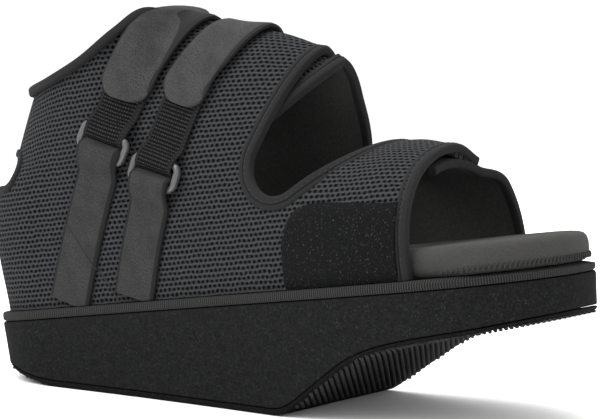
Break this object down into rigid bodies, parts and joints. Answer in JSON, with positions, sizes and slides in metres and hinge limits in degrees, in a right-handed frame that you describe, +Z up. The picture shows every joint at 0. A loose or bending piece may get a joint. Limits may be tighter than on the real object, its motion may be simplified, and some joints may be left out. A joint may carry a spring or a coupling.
{
  "type": "post operative wedge shoe",
  "caption": "Post operative forefoot relief shoe for the right foot, with a wedge sole, open toe, mesh upper, overlapping flaps and two strap closures through plastic rings.",
  "frame": {"origin": "middle of the flat ground pad under the heel and midfoot, on the floor", "axes": "+X towards the toe, +Y to the wearer's left (the medial side of this right shoe), +Z up from the floor"},
  "size_m": [0.2843, 0.0995, 0.1631],
  "materials": {
    "rubber": "matt, fine speckle",
    "foam": "matt foam, fine speckle",
    "tape": "ribbed woven tape",
    "pad": "brushed felt",
    "mesh_fabric": "open spacer mesh",
    "binding": "woven edge tape",
    "hook_tape": "hook pile",
    "velour": "short loop pile",
    "ring_plastic": "semi gloss"
  },
  "bodies": {
    "root": {"outsole": "rubber", "midsole": "foam", "welt": "tape", "insole": "pad", "upper": "mesh_fabric", "binding_collar": "binding", "binding_heel_opening": "binding", "binding_throat_near": "binding", "binding_throat_far": "binding", "binding_toe_near": "binding", "binding_toe_far": "binding", "hook_patch": "hook_tape", "tab_lower_rear": "velour", "tab_hook_rear": "hook_tape", "strap_rear": "velour", "ring_rear": "ring_plastic", "tab_lower_front": "velour", "tab_hook_front": "hook_tape", "strap_front": "velour", "ring_front": "ring_plastic"}
  },
  "joints": []
}
